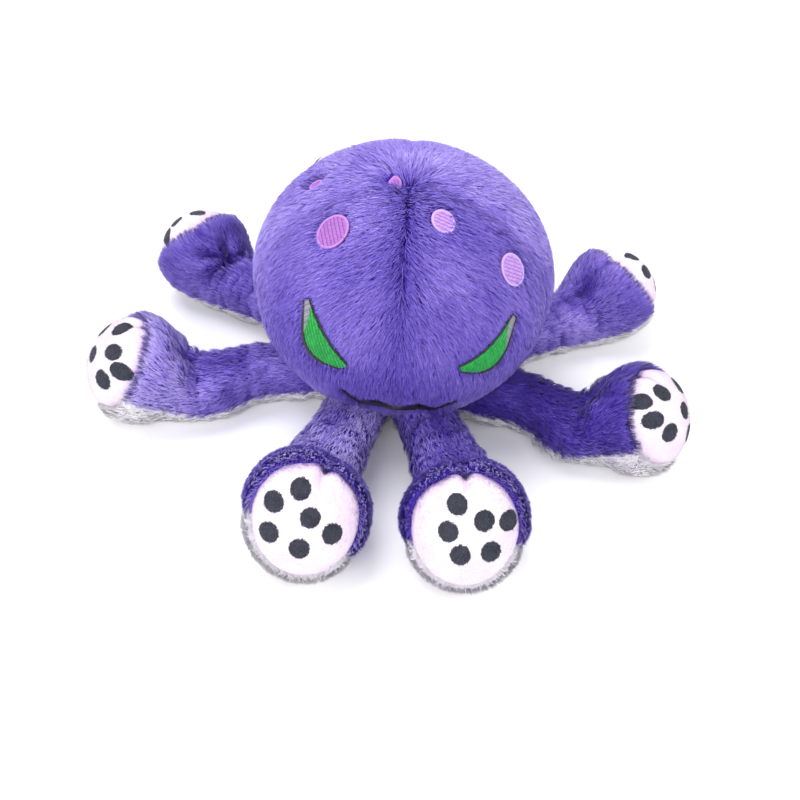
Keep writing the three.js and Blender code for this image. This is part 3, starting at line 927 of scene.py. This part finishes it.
def build_mouth(rng):
    corners = np.array(MOUTH, float)
    share = np.linspace(0, len(corners) - 1, 90)
    across = np.interp(share, np.arange(len(corners)), corners[:, 0])
    above = np.interp(share, np.arange(len(corners)), corners[:, 1])
    blend = np.linspace(-0.5, 0.5, 5)[None, :] * MOUTH_WIDTH
    backing = shift_on_head(across[:, None] + 0 * blend, above[:, None] + 0 * blend, 0, blend)

    def place(x, y):
        at = np.clip(x, 0, 1) * (len(corners) - 1)
        number = np.arange(len(corners))
        across, above = (np.interp(at, number, corners[:, k]) for k in range(2))
        return shift_on_head(across, above, 0, y)

    edge = lambda y: (lambda share: np.stack([share, np.full_like(share, y)], axis=-1))
    stitches = satin_stitches(edge(-MOUTH_WIDTH / 2), edge(MOUTH_WIDTH / 2), 170)
    embroidery("mouth_stitching", backing, [(place, stitches, 1, 2)], black_thread, rng, lift=MOUTH_LIFT)
    stitch_places.append(on_head_fabric(head_direction(*backing), 1.0).reshape(-1, 3))


# ---- Build ----

add_camera()
add_surroundings()

purple = pile_materials("purple_fur", ["372288", "47329e", "5a45b2", "6e59c4", "836fd2", "9884e0", "ad9cea",
                                       "c0b2f2"], 0.3, "d9ccff")
white = pile_materials("white_fur", ["e4deec", "eeeaf4", "f6f3f9", "fbfafc", "ffffff"], 0.1, "ffffff")
# The first PAD_TINTS tints are the pad's own, and the others are those of its printed dots.
PAD_TINTS = 5
plush = pile_materials("toe_pad_pile", ["e3c6ea", "ecd6f0", "f3e4f5", "f8eff9", "fcf7fc",
                                        "2b2d38", "363945", "444753", "525561"], 0.1, "ffffff")
purple_backing = cloth_material("purple_fur_backing", "2c1480", "4a2cae", 60, 1500)
white_backing = cloth_material("white_fur_backing", "ddd5e8", "f0ebf5", 60, 1500)
pad_cloth = cloth_material("toe_pad_plush", "ecd5f0", "f7edf8", 40, 1800)
pad_print = cloth_material("toe_pad_print", "2b2d38", "3c3f4b", 200, 1800)
base_cloth = cloth_material("base_cloth", "ddd3e6", "efe9f3", 80, 1200)
filling = cloth_material("filling", "e9e6dd", "fbfaf5", 50, 400)
green_thread = [plain_material(f"green_thread_{tint}", tint, 0.45, 0.5)
                for tint in ("0a6026", "109038", "169e40", "20ac4a")]
black_thread = [plain_material(f"black_thread_{tint}", tint, 0.4, 0.5)
                for tint in ("08070b", "15131c", "24212d")]
grey_thread = [plain_material(f"grey_thread_{tint}", tint, 0.45, 0.5)
               for tint in ("3c3e44", "6f717a", "8b8d95")]
pink_thread = [plain_material(f"pink_thread_{tint}", tint, 0.45, 0.5)
               for tint in ("743a90", "9a5cb3", "a567bc", "b57bc8")]
lilac_thread = [plain_material(f"lilac_thread_{tint}", tint, 0.45, 0.5)
                for tint in ("8c5db3", "ad80cd", "b78fd6", "c3a1e0")]


def build_embroidery():
    for number, eye in enumerate(EYES):
        build_eye(*eye, np.random.default_rng(EYE_SEED + number))
    for number, spot in enumerate(SPOTS):
        build_spot(*spot, np.random.default_rng(SPOT_SEED + number))
    build_mouth(np.random.default_rng(MOUTH_SEED))


def build_head(keeper):
    direction = lean_forward(head_direction(head_across, head_above))
    points = on_head(direction, head_lift)
    down, sideways = unit(-np.gradient(points, axis=0)), unit(np.gradient(points, axis=1))
    outwards = 0.9 * smoothstep(head_above, -20, 50) * (1 - smoothstep(np.abs(head_across), 20, 72))
    combed = down + sideways * (np.sign(head_across) * outwards)[..., None]
    panels = [
        ("head_front_left_panel", -SIDE_SEAM, 0),
        ("head_front_right_panel", 0, SIDE_SEAM),
        ("head_back_right_panel", SIDE_SEAM, 180),
        ("head_back_left_panel", -180, -SIDE_SEAM),
    ]
    for number, (name, low, high) in enumerate(panels):
        columns = np.flatnonzero((head_across[0] >= low - 0.01) & (head_across[0] <= high + 0.01))
        part = slice(columns[0], columns[-1] + 1)
        skin = fabric(name + "_fabric", points[:, part], [purple_backing])
        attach(skin, "head")
        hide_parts(name)
        rng = np.random.default_rng(HEAD_SEED + number)
        roots, normals, (flow, lift) = sample_grid(points[:, part], [combed[:, part], head_lift[:, part]],
                                                   HEAD_DENSITY, rng)
        bare = keeper.distance(roots) > BARE_REACH
        roots, normals, flow, lift = roots[bare], normals[bare], flow[bare], lift[bare]
        height = (roots[:, 2] - HEAD_MIDDLE) / CROWN_RISE
        # Painted light and shade: the fur is lighter towards the top of the head and darker where the fabric
        # sinks into its seams; the noise is random tone.
        tone = 0.25 + 0.3 * noise(roots, 22) + 0.1 * smoothstep(height, 0, 1) + 0.05 * np.clip(lift, -4, 0)
        # Painted light: the back panels' fur, round the sides and back of the head, is lighter.
        if low < -SIDE_SEAM or high > SIDE_SEAM:
            tone = tone + 0.2
        fur = grow_fur(name + "_fur", roots, normals, flow, HEAD_HAIR, purple, tone, rng, keeper=keeper)
        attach(fur, "head")


def build_base():
    """The flat panel under the head, with the soft dimples of fabric that carries weight."""
    x, y = disc_grid(41, BASE_RADIUS)
    edge = np.hypot(x, y) / BASE_RADIUS
    height = 0.2 + 0.9 * noise(np.stack([x, y, 0 * x], axis=-1), 14) * (1 - edge ** 4) + 0.8 * edge ** 8
    base = fabric("head_base_panel_fabric", np.stack([x, y, height], axis=-1), [base_cloth], thickness=2)
    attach(base, "head")
    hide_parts("head_base_panel")


def build_head_filling():
    rings = np.linspace(BASE_LATITUDE + 2, 82, 30)
    above, across = np.meshgrid(rings, np.arange(0, 360, 7.5), indexing="ij")
    direction = head_direction(across, above)
    lumps = 1.5 * noise(direction * HEAD_RADIUS, 18)
    stuffing = closed_bag("head_filling", on_head(direction, -8 - lumps), filling)
    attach(stuffing, "head")
    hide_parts("head_stuffing")


def build_arm(number, name, heading, aside, stretch, turn, sag, twist, print_name, wrinkling, sleeve_painted_light, foot_painted_light):
    rng = np.random.default_rng(ARM_SEED + number)
    place = lambda p: arm_place(bend_arm(p, stretch, turn, sag), heading, aside)
    shift = np.array([number * 61.0, 0, 0])
    own_s = np.concatenate([np.linspace(0, 1, 46), np.linspace(1, 2, 36)[1:],
                            2 + np.linspace(0, PAD_START, 9)[1:]])
    parts = [
        ("left_panel", 180, 360 - SOLE_SPREAD, purple, purple_backing, ARM_HAIR, "purple_fur"),
        ("right_panel", SOLE_SPREAD, 180, purple, purple_backing, ARM_HAIR, "purple_fur"),
        ("sole", -SOLE_SPREAD, SOLE_SPREAD, white, white_backing, SOLE_HAIR, "white_fur"),
    ]
    for part, low, high, tints, backing, hair, slot in parts:
        s, angle = np.meshgrid(own_s, np.linspace(low, high, 37), indexing="ij")
        smooth = arm_surface(s, angle, twist)
        relief = arm_relief(s, angle, smooth + shift, wrinkling)
        raised = smooth + grid_normals(smooth) * relief[..., None]
        raised[..., 2] = np.maximum(raised[..., 2], FLOOR_GAP)
        points = place(raised)
        skin = fabric(f"{name}_{part}_fabric", points, [backing])
        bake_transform(skin)
        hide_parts(f"{name}_{part}")
        out = unit(np.gradient(points, axis=0))
        if part == "sole":
            out = out + 0.7 * unit(np.gradient(points, axis=1)) * (angle / SOLE_SPREAD)[..., None]
        to_rim = np.where(s > 2, (2 + PAD_START - s) * TOE_DEPTH,
                          (2 - s) * ANKLE_LENGTH + PAD_START * TOE_DEPTH)
        roots, normals, (flow, rim, depth) = sample_grid(points, [out, to_rim, relief], ARM_DENSITY, rng)
        in_head = np.hypot(roots[:, 0], roots[:, 1]) ** 2 / HEAD_RADIUS ** 2 \
            + ((roots[:, 2] - HEAD_MIDDLE) / HEAD_DROP) ** 2 < 0.93
        roots, normals, flow, rim, depth = (values[~in_head] for values in (roots, normals, flow, rim, depth))
        near = 1 - smoothstep(rim, 0, 9)
        foot = smoothstep(rim, ANKLE_LENGTH + 8, ANKLE_LENGTH - 12)
        # Painted light and shade: each arm's sleeve fur and foot fur is lightened or darkened by its own
        # amount, for how light falls on it; the noise is random tone.
        tone = 0.2 + 0.4 * noise(roots + shift, 18) + sleeve_painted_light + (foot_painted_light - sleeve_painted_light) * foot
        # Painted shade in the creases and seam valleys, a little painted light on raised fabric, and painted
        # light on the fringe round the toe pad.
        tone = tone + 0.13 * np.clip(depth, -4, 1) + 0.2 * near
        if part == "sole":
            tone = 0.45 + 0.5 * noise(roots + shift, 12)
        fur = grow_fur(f"{name}_{part}_fur", roots, normals, flow, hair * (1 - 0.25 * near), tints,
                       tone, rng, upright=0.6 * near)
        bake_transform(fur)
    build_toe_pad(name, place, twist, print_name, shift, rng)
    build_arm_filling(name, place, twist)


PAD_STEPS = 91
pad_up, pad_right = disc_grid(PAD_STEPS, PAD_RIM)
pad_rise = pad_swelling(pad_right, pad_up)


def on_print(right, up, twist, print_name):
    """Whether a place on the twisted pad, in foot radii, is on a printed dot."""
    c, s = math.cos(math.radians(twist)), math.sin(math.radians(twist))
    right, up = c * right - s * up, s * right + c * up
    hit = np.zeros(np.shape(right), bool)
    for dot_right, dot_up in PAD_DOTS[print_name]:
        hit |= np.hypot(right / PAD_RIM - dot_right, up / PAD_RIM - dot_up) < DOT_RADIUS
    return hit


def build_toe_pad(name, place, twist, print_name, shift, rng):
    smooth = pad_surface(pad_right, pad_up, twist)
    edge = (PAD_RIM - np.hypot(pad_right, pad_up)) * FOOT_RADIUS
    below = (PAD_RIM - pad_up) * FOOT_RADIUS
    aside = pad_right * FOOT_RADIUS
    fold = 2.8 * hump(aside, 2.8) * hump(np.maximum(below, 0), 9)
    bulges = 0.7 * hump(np.abs(aside) - 6.5, 4) * hump(below, 10)
    relief = pad_rise + 0.5 * noise(smooth + shift, 13) - 1.6 * hump(edge, 2.2) - fold + bulges
    raised = smooth + grid_normals(smooth) * relief[..., None]
    raised[..., 2] = np.maximum(raised[..., 2], FLOOR_GAP)
    points = place(raised)
    middle = lambda grid: (grid[:-1, :-1] + grid[1:, 1:]) / 2
    skin = fabric(f"{name}_toe_pad_fabric", points, [pad_cloth, pad_print],
                  picks=on_print(middle(pad_right), middle(pad_up), twist, print_name).astype(int))
    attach(skin, name)
    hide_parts(f"{name}_toe_pad")
    extras = [unit(-np.gradient(points, axis=0)), pad_right, pad_up, fold]
    roots, normals, (flow, right, up, pinch) = sample_grid(points, extras, PAD_DENSITY, rng)
    printed = on_print(right, up, twist, print_name)
    # Painted shade: the pile is darker and pinker in the fold below the notch and towards the seam round the
    # rim; the noise is random tone.
    tone = 0.55 + 0.5 * noise(roots + shift, 15) - 0.5 * smoothstep(pinch, 0.3, 3)
    tone = tone - 0.25 * smoothstep(np.hypot(right, up), 0.75, 0.93)
    tone = np.where(printed, 0.2 + 0.5 * noise(roots, 4), tone)
    pile = grow_fur(f"{name}_toe_pad_pile", roots, normals, flow, PAD_HAIR, plush, tone, rng,
                    first_tint=np.where(printed, PAD_TINTS, 0), clump=1.6, pull=0.15)
    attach(pile, name)


def build_arm_filling(name, place, twist):
    s = np.concatenate([np.linspace(0.66, 1, 8), np.linspace(1, 2, 14)[1:], 2 + np.linspace(0, 0.93, 9)[1:]])
    s, angle = np.meshgrid(s, np.arange(0, 360, 12.0), indexing="ij")
    points = arm_surface(s, angle, twist)
    spine = points.mean(axis=1, keepdims=True)
    inward = spine - points
    depth = 6.5 + 1.2 * noise(points, 14)
    size = np.linalg.norm(inward, axis=-1)
    points = points + unit(inward) * np.minimum(depth, size * 0.8)[..., None]
    stuffing = closed_bag(f"{name}_filling", place(points), filling)
    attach(stuffing, name)
    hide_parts(f"{name}_stuffing")


build_embroidery()
build_head(Keeper(np.concatenate(stitch_places)))
build_base()
build_head_filling()
for number, arm in enumerate(ARMS):
    build_arm(number, *arm)
